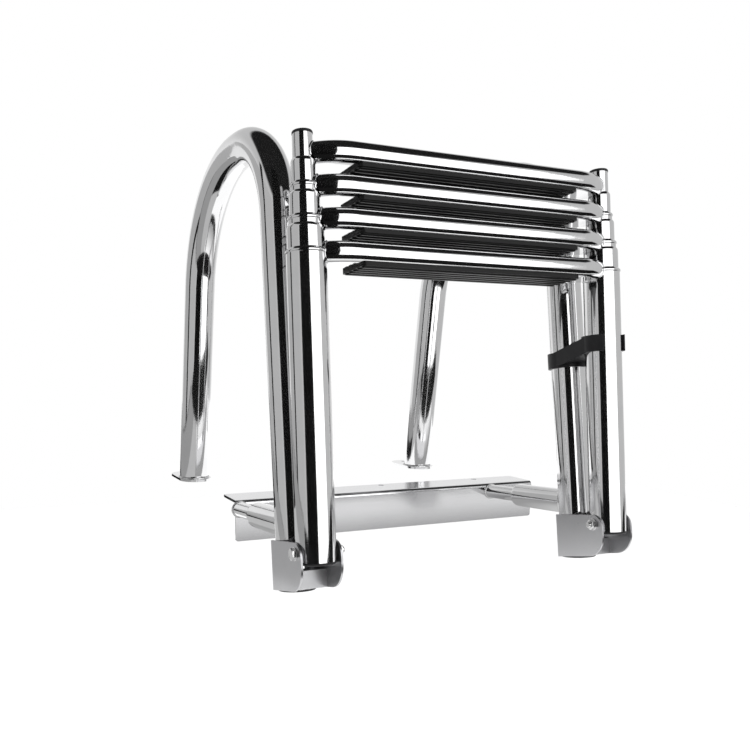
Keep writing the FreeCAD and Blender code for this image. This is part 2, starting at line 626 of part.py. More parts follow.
def step_level(order):
    """Height of a section's step above the hinge bolt, as an expression."""
    return "(Sizes.first_step + %d * Sizes.step_pitch)" % order


def lower_end(order):
    """Height of a section's lower end above the hinge bolt, as an expression."""
    if order == 0:
        return "(-Sizes.stile_foot)"
    return "(Sizes.section_start + %d * Sizes.step_pitch)" % (order - 1)


def make_stile(label, order, side):
    """A tube with a swaged hidden end, a bead at its step and a slightly smaller neck beyond it."""
    body = new_body(label, ladder_frame(side))
    outside = "(%s / 2)" % DIAMETER[SECTIONS[order]]
    inside = "(%s - Sizes.tube_wall)" % outside
    if order == 0:
        hidden_end = ((inside, lower_end(order)), (outside, lower_end(order)))
    else:
        swaged = "(%s / 2 - Sizes.tube_wall - Sizes.slide_gap)" % DIAMETER[SECTIONS[order - 1]]
        swage_end = "(%s + Sizes.swage_length)" % lower_end(order)
        swage_neck = "(%s + Sizes.swage_taper)" % swage_end
        hidden_end = (
            (inside, swage_neck),
            (swaged + " - Sizes.tube_wall", swage_end),
            (swaged + " - Sizes.tube_wall", lower_end(order)),
            (swaged, lower_end(order)),
            (swaged, swage_end),
            (outside, swage_neck),
        )
    if order == 3:
        shape = outline(body, label + "_half", "XZ_Plane", hidden_end + (
            (outside, "Sizes.inner_top"), (inside, "Sizes.inner_top")))
        revolve(body, label + "_tube", shape)
        return
    level = step_level(order)
    narrow = "(%s - Sizes.neck_cut)" % outside
    start = "(%s + Sizes.bead_height / 2 + Sizes.neck_cut)" % level
    rim = "(%s + Sizes.neck_rise)" % level
    bore = "(%s / 2 + Sizes.neck_gap)" % DIAMETER[SECTIONS[order + 1]]
    spun = "(%s - %s - Sizes.neck_land)" % (narrow, bore)
    shoulder = "((Sizes.neck_shoulder ^ 2 + %s ^ 2) / 2 / %s)" % (spun, spun)
    shape = outline(body, label + "_half", "XZ_Plane", hidden_end + (
        (outside, level + " - Sizes.bead_height / 2", BEAD_ROUND),
        (outside, level + " + Sizes.bead_height / 2"),
        (narrow, start),
        (narrow, rim + " - Sizes.neck_shoulder", shoulder),
        (bore + " + Sizes.neck_land", rim),
        (bore, rim),
        (bore, rim + " - Sizes.neck_land"),
        (narrow + " - Sizes.tube_wall", rim + " - Sizes.neck_shoulder"),
        (narrow + " - Sizes.tube_wall", start),
        (inside, level + " - Sizes.bead_height / 2"),
    ))
    revolve(body, label + "_tube", shape)
    if order == 0:
        hole = circles(body, label + "_bolt_hole", "YZ_Plane",
                       (("0 mm", "0 mm", "Sizes.bolt_diameter / 2 + Sizes.hinge_gap"),))
        pocket(body, label + "_drilled", hole, "4 * Sizes.rail_diameter", both_ways=True)


def make_bush(label, order, side):
    """The bush in a neck that guides the next tube."""
    body = new_body(label, ladder_frame(side))
    bore = "(%s / 2 + Sizes.slide_gap)" % DIAMETER[SECTIONS[order + 1]]
    seat = "(%s / 2 - Sizes.neck_cut - Sizes.tube_wall)" % DIAMETER[SECTIONS[order]]
    top = "(%s + Sizes.neck_rise - Sizes.neck_shoulder)" % step_level(order)
    shape = outline(body, label + "_half", "XZ_Plane", (
        (bore, top + " - Sizes.bush_depth"),
        (seat, top + " - Sizes.bush_depth"),
        (seat, top),
        (bore, top),
    ))
    revolve(body, label + "_turned", shape)


def make_stile_plug(label, side):
    """The plug in the hinged end of the outer stile."""
    body = new_body(label, ladder_frame(side))
    inside = "(Sizes.rail_diameter / 2 - Sizes.tube_wall - Sizes.slide_gap)"
    shape = outline(body, label + "_half", "XZ_Plane", (
        ("0 mm", "-Sizes.stile_foot - Sizes.stile_plug_lip"),
        ("Sizes.rail_diameter / 2 - Sizes.plug_chamfer", "-Sizes.stile_foot - Sizes.stile_plug_lip"),
        ("Sizes.rail_diameter / 2", "-Sizes.stile_foot - Sizes.stile_plug_lip + Sizes.plug_chamfer"),
        ("Sizes.rail_diameter / 2", "-Sizes.stile_foot"),
        (inside, "-Sizes.stile_foot"),
        (inside, "-Sizes.stile_foot + Sizes.stile_plug_depth"),
        ("0 mm", "-Sizes.stile_foot + Sizes.stile_plug_depth"),
    ))
    revolve(body, label + "_turned", shape)


def make_cap(label, side):
    """The cap on the innermost tube."""
    body = new_body(label, ladder_frame(side))
    outside = "(Sizes.inner_diameter / 2)"
    inside = "(%s - Sizes.tube_wall - Sizes.slide_gap)" % outside
    edge = "(%s + Sizes.cap_grip)" % outside
    flat = "(%s - Sizes.cap_round)" % edge
    shape = outline(body, label + "_half", "XZ_Plane", (
        ("0 mm", "Sizes.inner_top - Sizes.plug_depth"),
        (inside, "Sizes.inner_top - Sizes.plug_depth"),
        (inside, "Sizes.inner_top"),
        (edge, "Sizes.inner_top"),
        (edge, "Sizes.inner_top + Sizes.cap_lip - Sizes.cap_dome - Sizes.cap_round", "Sizes.cap_round"),
        (flat, "Sizes.inner_top + Sizes.cap_lip - Sizes.cap_dome",
         "((%s ^ 2 + Sizes.cap_dome ^ 2) / 2 / Sizes.cap_dome)" % flat),
        ("0 mm", "Sizes.inner_top + Sizes.cap_lip"),
    ))
    revolve(body, label + "_turned", shape)


def step_nose(shrink):
    """A step's nose: its run and half depth where the tip's arc starts, and that arc's radius."""
    corner = "(Sizes.step_corner - %s)" % shrink
    offset = "(Sizes.step_corner - Sizes.step_depth / 2)"
    run = "(Sizes.step_turn + Sizes.step_end - %s)" % shrink
    tip = "((%s ^ 2 - %s ^ 2 - %s ^ 2) / 2 / (%s - %s))" % (corner, run, offset, corner, run)
    share = "(%s / (%s - %s))" % (corner, corner, tip)
    return "((%s - %s) * %s)" % (run, tip, share), "(%s * (%s - 1))" % (offset, share), tip


def step_blank(label, order, shrink):
    """A slab in the shape of a step, made smaller all round by shrink."""
    body = doc.addObject("PartDesign::Body", label)
    body.Placement = ladder_frame(0)
    run, half, tip = step_nose(shrink)
    turn = "(Sizes.rail_spacing / 2 - Sizes.step_turn)"
    reach = "(%s + %s)" % (turn, run)
    corner = "(Sizes.step_corner - %s)" % shrink
    front = "(Sizes.step_shift - Sizes.step_depth / 2 + %s)" % shrink
    rear = "(Sizes.step_shift + Sizes.step_depth / 2 - %s)" % shrink
    shape = outline(body, label + "_plan", "XY_Plane", (
        ("-" + turn, front),
        (turn, front, corner),
        (reach, "Sizes.step_shift - " + half, tip),
        (reach, "Sizes.step_shift + " + half, corner),
        (turn, rear),
        ("-" + turn, rear, corner),
        ("-" + reach, "Sizes.step_shift + " + half, tip),
        ("-" + reach, "Sizes.step_shift - " + half, corner),
    ))
    shape.AttachmentOffset = FreeCAD.Placement()
    shape.setExpression("AttachmentOffset.Base.z", step_level(order) + " * 1 mm")
    slab = pad(body, label + "_slab", shape, "Sizes.step_height - 2 * %s" % shrink, both_ways=True)
    doc.recompute()
    box = slab.Shape.BoundBox
    round_edges(body, label + "_round", slab, "Sizes.step_edge - %s" % shrink, lambda edge:
                (near(middle(edge).z, box.ZMin) or near(middle(edge).z, box.ZMax))
                and not edge_runs(edge, AXIS_Y))
    return body


def bead_cut(label, order, side):
    """The ring that a stile's bead fills."""
    ring = doc.addObject("Part::Torus", label + "_bead")
    ring.setExpression("Radius1", "%s / 2 + Sizes.bead - %s" % (DIAMETER[SECTIONS[order]], BEAD_ROUND))
    ring.setExpression("Radius2", BEAD_ROUND)
    frame = ladder_frame(side)
    centre = FreeCAD.Vector(0, 0, value(step_level(order)))
    ring.Placement = FreeCAD.Placement(frame.multVec(centre), frame.Rotation)
    return ring


def make_step(label, order):
    """A hollow step with rounded edges, coped to its stiles and clear of the necks below."""
    skin = step_blank(label + "_skin", order, "0")
    core = step_blank(label + "_core", order, "Sizes.step_wall")
    tools = [core]
    for side_name, side in SIDES:
        stile = doc.addObject("Part::Cylinder", "%s_%s_cope" % (label, side_name))
        stile.setExpression("Radius", "%s / 2" % DIAMETER[SECTIONS[order]])
        stile.setExpression("Height", "2 * Sizes.inner_top")
        stile.Placement = ladder_frame(side)
        tools.append(stile)
        if order < 3:
            tools.append(bead_cut("%s_%s" % (label, side_name), order, side))
        if order > 0:
            neck = doc.addObject("Part::Cylinder", "%s_%s_relief" % (label, side_name))
            neck.setExpression("Radius", "%s / 2 - Sizes.neck_cut + Sizes.neck_clearance"
                               % DIAMETER[SECTIONS[order - 1]])
            neck.setExpression("Height", step_level(order - 1) + " + Sizes.neck_rise + Sizes.neck_clearance")
            neck.Placement = ladder_frame(side)
            tools.append(neck)
    cuts = doc.addObject("Part::MultiFuse", label + "_cuts")
    cuts.Shapes = tools
    step = doc.addObject("Part::Cut", label)
    step.Base = skin
    step.Tool = cuts
    step.Label = label
    nodes.append(step)


def make_pad(label, order):
    """The tread pad on the face that is up when the ladder is lowered, its rim over the step's edges."""
    slab = doc.addObject("PartDesign::Body", label + "_slab")
    slab.Placement = ladder_frame(0)
    reach = "(Sizes.rail_spacing / 2 - Sizes.pad_inset)"
    shape = outline(slab, label + "_plan", "XY_Plane", (
        ("-" + reach, "Sizes.pad_shift - Sizes.pad_depth / 2"),
        (reach, "Sizes.pad_shift - Sizes.pad_depth / 2"),
        (reach, "Sizes.pad_shift + Sizes.pad_depth / 2"),
        ("-" + reach, "Sizes.pad_shift + Sizes.pad_depth / 2"),
    ))
    shape.AttachmentOffset = FreeCAD.Placement()
    top = "(%s - Sizes.step_height / 2 + Sizes.pad_wrap)" % step_level(order)
    shape.setExpression("AttachmentOffset.Base.z", top + " * 1 mm")
    plate = pad(slab, label + "_plate", shape, "Sizes.pad_height + Sizes.pad_wrap", reverse=True)
    round_edges(slab, label + "_corners", plate, "Sizes.pad_corner",
                lambda edge: edge_runs(edge, AXIS_Z))
    cut = doc.addObject("Part::Cut", label)
    cut.Base = slab
    cut.Tool = step_blank(label + "_seat", order, "0")
    cut.Label = label
    nodes.append(cut)


# Retaining clip: a ring on the right front leg and an open jaw for the stile

def make_clip(label):
    """A ring and a jaw, joined by a sloping web."""
    stile = ladder_frame(1)
    leg = rail_frame(1)
    half = size("clip_height") / 2.0
    jaw_base = stile.multVec(FreeCAD.Vector(0, 0, size("clip_level") - half))
    lowered = FreeCAD.Vector(0, 0, size("clip_level") - size("bolt_drop") - size("clip_slope") - half)
    ring_base = leg.multVec(lowered)

    def cylinder(name, frame, base, radius):
        made = doc.addObject("Part::Cylinder", label + name)
        made.setExpression("Radius", radius)
        made.setExpression("Height", "Sizes.clip_height")
        made.Placement = FreeCAD.Placement(base, frame.Rotation)
        return made

    jaw_radius = "(Sizes.rail_diameter / 2 + Sizes.clip_gap + Sizes.clip_wall)"
    ring_radius = "(Sizes.rail_diameter / 2 + Sizes.clip_wall)"
    jaw = cylinder("_jaw", stile, jaw_base, jaw_radius)
    ring = cylinder("_ring", leg, ring_base, ring_radius)
    faces = []
    for name, frame, base, radius in (("_web_low", leg, ring_base, ring_radius),
                                      ("_web_high", stile, jaw_base, jaw_radius)):
        face = doc.addObject("Sketcher::SketchObject", label + name)
        face.Placement = FreeCAD.Placement(base, frame.Rotation * FreeCAD.Rotation(AXIS_X, 90))
        width = "(%s - Sizes.clip_flank)" % radius
        draw(face, (("-" + width, "0 mm"), (width, "0 mm"),
                    (width, "Sizes.clip_height"), ("-" + width, "Sizes.clip_height")))
        faces.append(face)
    web = doc.addObject("Part::Loft", label + "_web")
    web.Sections = faces
    web.Solid = True
    web.Ruled = True
    solid = doc.addObject("Part::MultiFuse", label + "_solid")
    solid.Shapes = [jaw, ring, web]
    tools = []
    for name, frame, radius in (("_stile_bore", stile, "Sizes.rail_diameter / 2 + Sizes.clip_gap"),
                                ("_leg_bore", leg, "Sizes.rail_diameter / 2")):
        bore = doc.addObject("Part::Cylinder", label + name)
        bore.setExpression("Radius", radius)
        bore.setExpression("Height", "4 * Sizes.clip_level")
        bore.Placement = FreeCAD.Placement(frame.multVec(FreeCAD.Vector(0, 0, -size("clip_level"))),
                                           frame.Rotation)
        tools.append(bore)
    mouth = doc.addObject("Part::Box", label + "_mouth")
    mouth.setExpression("Length", "Sizes.clip_mouth")
    mouth.setExpression("Width", "2 * Sizes.rail_diameter")
    mouth.setExpression("Height", "4 * Sizes.clip_height")
    corner = FreeCAD.Vector(-size("clip_mouth") / 2.0, -2 * size("rail_diameter"), -2 * size("clip_height"))
    mouth.Placement = FreeCAD.Placement(jaw_base + stile.Rotation.multVec(corner), stile.Rotation)
    tools.append(mouth)
    cuts = doc.addObject("Part::MultiFuse", label + "_cuts")
    cuts.Shapes = tools
    clip = doc.addObject("Part::Cut", label)
    clip.Base = solid
    clip.Tool = cuts
    clip.Label = label
    nodes.append(clip)


# The whole ladder

make_edge_angle("edge_angle")
for side_name, side in SIDES:
    make_hoop(side_name + "_hoop_rail", side)
    make_foot_plate(side_name + "_foot_plate", side)
    make_rail_plug(side_name + "_rail_plug", side)
    make_arm(side_name + "_arm_sleeve", side_name + "_arm_tube", side)
    make_bracket(side_name + "_hinge_bracket", side)
    make_hinge_bolt(side_name + "_hinge_bolt", side)
    make_stile_plug(side_name + "_stile_plug", side)
    make_cap(side_name + "_end_cap", side)
    for order, section in enumerate(SECTIONS):
        make_stile("%s_%s_stile" % (side_name, section), order, side)
        if order < 3:
            make_bush("%s_%s_bush" % (side_name, section), order, side)
for order, section in enumerate(SECTIONS):
    make_step(section + "_step", order)
    make_pad(section + "_tread_pad", order)
make_clip("retaining_clip")

doc.recompute()

# Nothing is written unless every piece is sound
for item in doc.Objects:
    if "Invalid" in item.State or "Error" in item.State:
        raise RuntimeError("%s is %s" % (item.Name, item.State))
os.makedirs(NODE_FOLDER, exist_ok=True)
for node in nodes:
    shape = node.Shape
    if shape.isNull() or not shape.isValid() or not shape.Solids:
        raise RuntimeError("%s has no sound solid" % node.Label)
for node in nodes:
    node.Shape.exportStep("%s/%s.step" % (NODE_FOLDER, node.Label))
    print("%-24s solids %d  volume %10.1f" % (node.Label, len(node.Shape.Solids), node.Shape.Volume))
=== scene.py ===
# %% [markdown]
# A folding boat ladder of polished stainless steel: two hoop handrails, and between them a
# ladder of four telescoping sections. The solid model brings every tube, plate and plug at its
# real size. This lesson dresses them: first the camera and the light, then one finish
# at a time, and last the small details that are easier to make as meshes.

# %% Load the solid model
import json
import math
import bmesh
import bpy
from mathutils import Matrix, Vector


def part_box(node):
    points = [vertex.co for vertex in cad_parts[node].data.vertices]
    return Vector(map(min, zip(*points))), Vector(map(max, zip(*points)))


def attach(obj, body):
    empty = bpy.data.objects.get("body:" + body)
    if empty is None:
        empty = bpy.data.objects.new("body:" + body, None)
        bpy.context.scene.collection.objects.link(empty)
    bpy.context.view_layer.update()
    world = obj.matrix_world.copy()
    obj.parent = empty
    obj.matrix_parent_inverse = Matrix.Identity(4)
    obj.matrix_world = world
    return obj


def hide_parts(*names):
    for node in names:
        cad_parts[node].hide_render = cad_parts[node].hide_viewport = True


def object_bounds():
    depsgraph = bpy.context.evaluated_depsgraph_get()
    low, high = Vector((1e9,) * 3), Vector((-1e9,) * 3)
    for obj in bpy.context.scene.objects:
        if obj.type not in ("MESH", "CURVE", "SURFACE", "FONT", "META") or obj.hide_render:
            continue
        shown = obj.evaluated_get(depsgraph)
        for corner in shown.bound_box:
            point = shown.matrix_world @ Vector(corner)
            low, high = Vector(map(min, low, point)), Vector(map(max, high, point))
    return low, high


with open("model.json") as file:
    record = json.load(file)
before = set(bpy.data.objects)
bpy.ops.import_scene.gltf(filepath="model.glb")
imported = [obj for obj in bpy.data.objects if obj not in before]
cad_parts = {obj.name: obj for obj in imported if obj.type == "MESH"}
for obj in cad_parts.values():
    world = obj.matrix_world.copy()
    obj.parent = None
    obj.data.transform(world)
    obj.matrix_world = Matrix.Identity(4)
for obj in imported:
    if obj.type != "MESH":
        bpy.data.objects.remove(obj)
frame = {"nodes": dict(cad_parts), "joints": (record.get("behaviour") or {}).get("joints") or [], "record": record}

cad_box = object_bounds()
nodes = frame["nodes"]
print("pieces in the solid model:", len(nodes))

# %% [markdown]
# The camera stands where the photographer stood: low, to the left and turned a little to
# the right. Its place and its lens come from measuring the picture. The picture's own centre
# isn't where the lens points, and a small shift of the sensor gives the same effect here.

# %% Camera
LENS = 38.41
SHIFT = (0.1067, 0.0951)
EYE = Vector((-0.4876, -0.8817, 0.1785))
YAW, PITCH, ROLL = 23.846, -6.983, -0.762


def view_axes(yaw, pitch, roll):
    """The camera's right, up and forward directions."""
    yaw, pitch, roll = (math.radians(angle) for angle in (yaw, pitch, roll))
    ahead = Vector((math.sin(yaw), math.cos(yaw), 0.0))
    forward = ahead * math.cos(pitch) + Vector((0.0, 0.0, math.sin(pitch)))
    right = Vector((math.cos(yaw), -math.sin(yaw), 0.0))
    down = forward.cross(right)
    turned = right * math.cos(roll) + down * math.sin(roll)
    lowered = down * math.cos(roll) - right * math.sin(roll)
    return turned, -lowered, forward


right, up, forward = view_axes(YAW, PITCH, ROLL)
lens = bpy.data.cameras.new("photo_lens")
lens.lens = LENS
lens.sensor_width = 36.0
lens.shift_x, lens.shift_y = SHIFT
camera = bpy.data.objects.new("photo_camera", lens)
camera.matrix_world = Matrix((
    (right.x, up.x, -forward.x, EYE.x),
    (right.y, up.y, -forward.y, EYE.y),
    (right.z, up.z, -forward.z, EYE.z),
    (0, 0, 0, 1),
))
bpy.context.collection.objects.link(camera)
bpy.context.scene.camera = camera
bpy.context.scene.view_settings.view_transform = "Standard"
print("camera looks along", tuple(round(part, 3) for part in forward))

# %% [markdown]
# Shader maths reads best as plain expressions. A small class wraps one socket of a node, so
# that 0.1 + noise * 0.2 adds the right Math nodes by itself. A second class holds one
# finish: its node method takes a node's type, its settings and the values of its sockets.

# %% Finishes as Python expressions
class Field:
    """A number that varies over a surface."""

    def __init__(self, finish, socket):
        self.finish = finish
        self.socket = socket

    def _with(self, operation, other):
        made = self.finish.node("ShaderNodeMath", {"operation": operation}, {0: self, 1: other})
        return Field(self.finish, made.outputs[0])

    def __add__(self, other):
        return self._with("ADD", other)

    __radd__ = __add__

    def __mul__(self, other):
        return self._with("MULTIPLY", other)

    __rmul__ = __mul__


class Finish:
    """One material and the nodes that make it."""

    def __init__(self, name, **constants):
        self.material = bpy.data.materials.new(name)
        self.material.use_nodes = True
        self.tree = self.material.node_tree
        self.shader = self.tree.nodes["Principled BSDF"]
        for socket, value in constants.items():
            self.shader.inputs[socket.replace("_", " ")].default_value = value

    def node(self, kind, settings=None, values=None):
        """A node with its settings made first, and then its sockets filled or linked."""
        made = self.tree.nodes.new(kind)
        for name, value in (settings or {}).items():
            setattr(made, name, value)
        for name, value in (values or {}).items():
            socket = made.inputs[name]
            if isinstance(value, Field):
                self.tree.links.new(value.socket, socket)
            elif isinstance(value, bpy.types.NodeSocket):
                self.tree.links.new(value, socket)
            else:
                socket.default_value = value
        return made

    def place(self, stretch=(1.0, 1.0, 1.0)):
        """The surface point in metres, squeezed or stretched along the frame's axes."""
        spot = self.node("ShaderNodeTexCoord").outputs["Object"]
        made = self.node("ShaderNodeVectorMath", {"operation": "MULTIPLY"}, {0: spot, 1: stretch})
        return made.outputs[0]

    def noise(self, scale, detail=3.0, stretch=(1.0, 1.0, 1.0)):
        """A soft random field."""
        made = self.node("ShaderNodeTexNoise", None,
                         {"Vector": self.place(stretch), "Scale": scale, "Detail": detail})
        return Field(self, made.outputs[0])

    def tint(self, mask, low, high):
        """A colour between two others, by a mask."""
        made = self.node("ShaderNodeMix", {"data_type": "RGBA"}, {0: mask, 6: low, 7: high})
        return made.outputs[2]

    def feed(self, socket, source):
        """Links a field or a colour to a socket of the shader."""
        source = source.socket if isinstance(source, Field) else source
        self.tree.links.new(source, self.shader.inputs[socket])

    def bump(self, height, distance, strength=1.0):
        """Small relief, with its height in metres."""
        made = self.node("ShaderNodeBump", None,
                         {"Strength": strength, "Distance": distance, "Height": height})
        self.feed("Normal", made.outputs[0])


print("expression helpers are ready")

# %% [markdown]
# Mirror-polished stainless is nearly colourless, and what one sees in it is the room. It
# still isn't a perfect mirror: the buffing wheel leaves faint haze in patches and very
# fine waves, and both show as small changes of roughness and of slope.

# %% Polished stainless
polished = Finish("polished_stainless", Metallic=1.0)
haze = polished.noise(38.0, 4.0)
wear = polished.noise(420.0, 2.0)
polished.feed("Base Color", polished.tint(haze, (0.70, 0.70, 0.71, 1), (0.80, 0.80, 0.80, 1)))
polished.feed("Roughness", 0.045 + haze * 0.05 + wear * 0.02)
polished.bump(polished.noise(60.0, 2.0), 0.00004)
print("finish:", polished.material.name)

# %% [markdown]
# The sheet pieces are brushed rather than polished. A brushed surface is a noise drawn out
# along one direction: long thin scratches that spread a highlight across them.

# %% Brushed stainless sheet
brushed = Finish("brushed_stainless", Metallic=1.0)
lines = brushed.noise(260.0, 5.0, (0.04, 1.0, 1.0))
patches = brushed.noise(30.0, 3.0)
brushed.feed("Base Color", brushed.tint(patches, (0.44, 0.44, 0.45, 1), (0.52, 0.52, 0.53, 1)))
brushed.feed("Roughness", 0.20 + lines * 0.16 + patches * 0.06)
brushed.bump(lines, 0.00003, 0.5)
print("finish:", brushed.material.name)

# %% [markdown]
# The edge angle is bent from cold-rolled sheet, which leaves the mill nearly bright. Its long
# faces are never quite flat, and broad faint waves in them make the reflections swim.

# %% Rolled sheet of the edge angle
rolled = Finish("rolled_stainless", Metallic=1.0)
grit = rolled.noise(300.0, 4.0, (0.05, 1.0, 1.0))
waves = rolled.noise(14.0, 2.0)
rolled.feed("Base Color", rolled.tint(waves, (0.66, 0.66, 0.67, 1), (0.74, 0.74, 0.75, 1)))
rolled.feed("Roughness", 0.14 + grit * 0.06)
rolled.bump(waves, 0.0002, 0.5)
print("finish:", rolled.material.name)

# %% [markdown]
# The plugs, bushes, end caps and clip are moulded black plastic: almost black, a little
# grey where it is rubbed, with the fine grain that the mould leaves.

# %% Black moulded plastic
black = Finish("black_plastic", Specular_IOR_Level=0.28)
grain = black.noise(900.0, 3.0)
rubbed = black.noise(70.0, 4.0)
black.feed("Base Color", black.tint(rubbed, (0.004, 0.004, 0.005, 1), (0.011, 0.011, 0.012, 1)))
black.feed("Roughness", 0.36 + rubbed * 0.14)
black.bump(grain, 0.00008, 0.6)
print("finish:", black.material.name)

# %% [markdown]
# The tread pads are rubber. It is as black as the plastic and duller, so a low specular level
# keeps the pale floor out of it, and only the ribs catch a thin line of light.

# %% Rubber of the tread pads
rubber = Finish("tread_rubber", Specular_IOR_Level=0.16)
dust = rubber.noise(120.0, 4.0)
rubber.feed("Base Color", rubber.tint(dust, (0.004, 0.004, 0.004, 1), (0.010, 0.010, 0.010, 1)))
rubber.feed("Roughness", 0.28 + dust * 0.12)
rubber.bump(rubber.noise(1100.0, 2.0), 0.00005, 0.5)
print("finish:", rubber.material.name)

# %% [markdown]
# A bought bolt is bright but not polished: its turned skin is a little rougher than the tubes.

# %% Bright fasteners
fastener = Finish("bright_fastener", Metallic=1.0)
turned = fastener.noise(700.0, 2.0)
fastener.feed("Base Color", fastener.tint(turned, (0.66, 0.66, 0.66, 1), (0.76, 0.76, 0.76, 1)))
fastener.feed("Roughness", 0.13 + turned * 0.10)
fastener.bump(turned, 0.00002, 0.4)
print("finish:", fastener.material.name)

# %% [markdown]
# Each solid comes with the name of a material slot, and a table turns that name into a finish.
# Two kinds of piece go their own way: the edge angle is rolled sheet, the pads are rubber.

# %% Give every solid its finish
FINISH_OF_SLOT = {
    "polished_tube": polished, "polished_step": polished, "polished_plate": polished,
    "satin_steel": brushed, "bright_fastener": fastener, "black_plastic": black,
}
slot_of = {part["node"]: part["material_slot"] for part in frame["record"]["subparts"]}
for name, piece in nodes.items():
    finish = FINISH_OF_SLOT[slot_of[name]]
    if name == "edge_angle":
        finish = rolled
    elif name.endswith("_tread_pad"):
        finish = rubber
    if not piece.material_slots:
        piece.data.materials.append(finish.material)
    for holder in piece.material_slots:
        holder.material = finish.material
print("dressed", len(nodes), "solids")

# %% [markdown]
# The solid model stops at plain bolts, sharp seams and smooth tread pads. A bought bolt has a
# chamfered head, a washer and a thread, and a welded joint has a bead around it. Most of
# these small shapes are rings of points, each joined to the next, so one helper makes them.

# %% Rings joined into a skin
MM = 0.001


def skin(name, parts, finish, body, sharp):
    """A piece made of parts. A part is a list of point rings, and whether it closes on itself."""
    made = bmesh.new()
    for rings, closed in parts:
        count = len(rings[0])
        rows = [[made.verts.new(point) for point in ring] for ring in rings]
        for low, high in zip(rows, rows[1:] + rows[:1] if closed else rows[1:]):
            for k in range(count):
                made.faces.new((low[k], low[(k + 1) % count], high[(k + 1) % count], high[k]))
        if not closed:
            made.faces.new(rows[0])
            made.faces.new(rows[-1])
    bmesh.ops.recalc_face_normals(made, faces=made.faces)
    shape = bpy.data.meshes.new(name)
    made.to_mesh(shape)
    made.free()
    shape.shade_smooth()
    shape.set_sharp_from_angle(angle=math.radians(sharp))
    shape.materials.append(finish.material)
    piece = bpy.data.objects.new(name, shape)
    bpy.context.collection.objects.link(piece)
    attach(piece, body)
    return piece


def turned_rings(centre, axis, profile, count=48):
    """Rings around an axis. A profile entry is a height and a radius in millimetres, by angle."""
    side = axis.orthogonal().normalized()
    other = axis.cross(side)
    rings = []
    for entry in profile:
        ring = []
        for k in range(count):
            angle = 2 * math.pi * k / count
            height, radius = entry(angle) if callable(entry) else entry
            spoke = side * math.cos(angle) + other * math.sin(angle)
            ring.append(centre + axis * (height * MM) + spoke * (radius * MM))
        rings.append(ring)
    return rings, False


joints = {joint["name"]: joint for joint in frame["joints"]}
PIVOT = Vector(joints["ladder_fold"]["pos_m"])
STILE_UP = Vector(joints["second_slide"]["axis"]).normalized()
STILE_BACK = STILE_UP.cross(Vector((1, 0, 0)))
print("the stowed ladder leans back", round(math.degrees(math.asin(STILE_UP.y)), 2), "degrees")

# %% [markdown]
# A hexagon is a circle whose radius changes with the angle. The chamfer of a head is a cone
# that cuts the hexagon's corners, so the corners end a little lower than the flats do.
# The thread winds up by one pitch in a full turn, and its depth is a sawtooth.

# %% Hinge bolts
SHANK = 3.0
FLATS = 10.0
FACE = 4.75
EAVES = math.tan(math.radians(30.0))


def hexagon(angle):
    """Distance from a bolt's middle to its hexagon's side, in a direction."""
    turned = (angle + math.pi / 6) % (math.pi / 3) - math.pi / 6
    return FLATS / 2 / math.cos(turned)


def eaves(height, up):
    """The edge where the hexagon meets its chamfer, below or above the face at this height."""
    return lambda angle: (height - up * (hexagon(angle) - FACE) * EAVES, hexagon(angle))


def thread(height, pitch=1.0, depth=0.35):
    """One ring of a thread, cut deeper and shallower as it winds."""
    def ring(angle):
        phase = (height / pitch - angle / (2 * math.pi)) % 1.0
        return height, SHANK - depth * abs(2 * phase - 1)
    return ring


WASHER = [(0.0, 6.1), (0.15, 6.3), (0.85, 6.3), (1.0, 6.1)]
HEAD = [(1.0, FACE), (1.25, FACE), lambda angle: (1.25, hexagon(angle)), eaves(4.4, 1), (4.4, FACE),
        (4.4, 3.5), (4.25, 3.2)]
NUT = [(1.0, FACE), eaves(1.0, -1), eaves(4.6, 1), (4.6, FACE), (4.7, 4.25), (5.6, 4.25),
       (5.9, 3.95), (5.9, 3.1)]
for side, outward in (("left", Vector((-1, 0, 0))), ("right", Vector((1, 0, 0)))):
    low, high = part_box(side + "_hinge_bracket")
    half = (high.x - low.x) / 2
    centre = Vector(((low.x + high.x) / 2, PIVOT.y, PIVOT.z))
    ears = [centre + outward * half, centre - outward * half]
    tail = [thread(5.5 + 0.1 * k) for k in range(18)] + [(7.5, 2.3)]
    bolt = skin(side + "_bolt_detail", [
        turned_rings(ears[0], outward, WASHER),
        turned_rings(ears[0], outward, HEAD),
        turned_rings(ears[0], -outward, [(0.0, SHANK), (2 * half / MM, SHANK)]),
        turned_rings(ears[1], -outward, WASHER),
        turned_rings(ears[1], -outward, NUT),
        turned_rings(ears[1], -outward, tail),
    ], fastener, "base", 25.0)
    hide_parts(side + "_hinge_bolt")
print("bolt faces:", len(bolt.data.polygons))

# %% [markdown]
# The joints are welded, and most of the beads are polished until only a small fillet with faint
# ripples is left. A bead follows the line where two pieces meet. That line is already in
# the solid model: it is the edge of the faces that one piece has against the other.

# %% Find the seams
SNAPS_PER_METRE = 2e5
CLOSE = 0.9 * MM


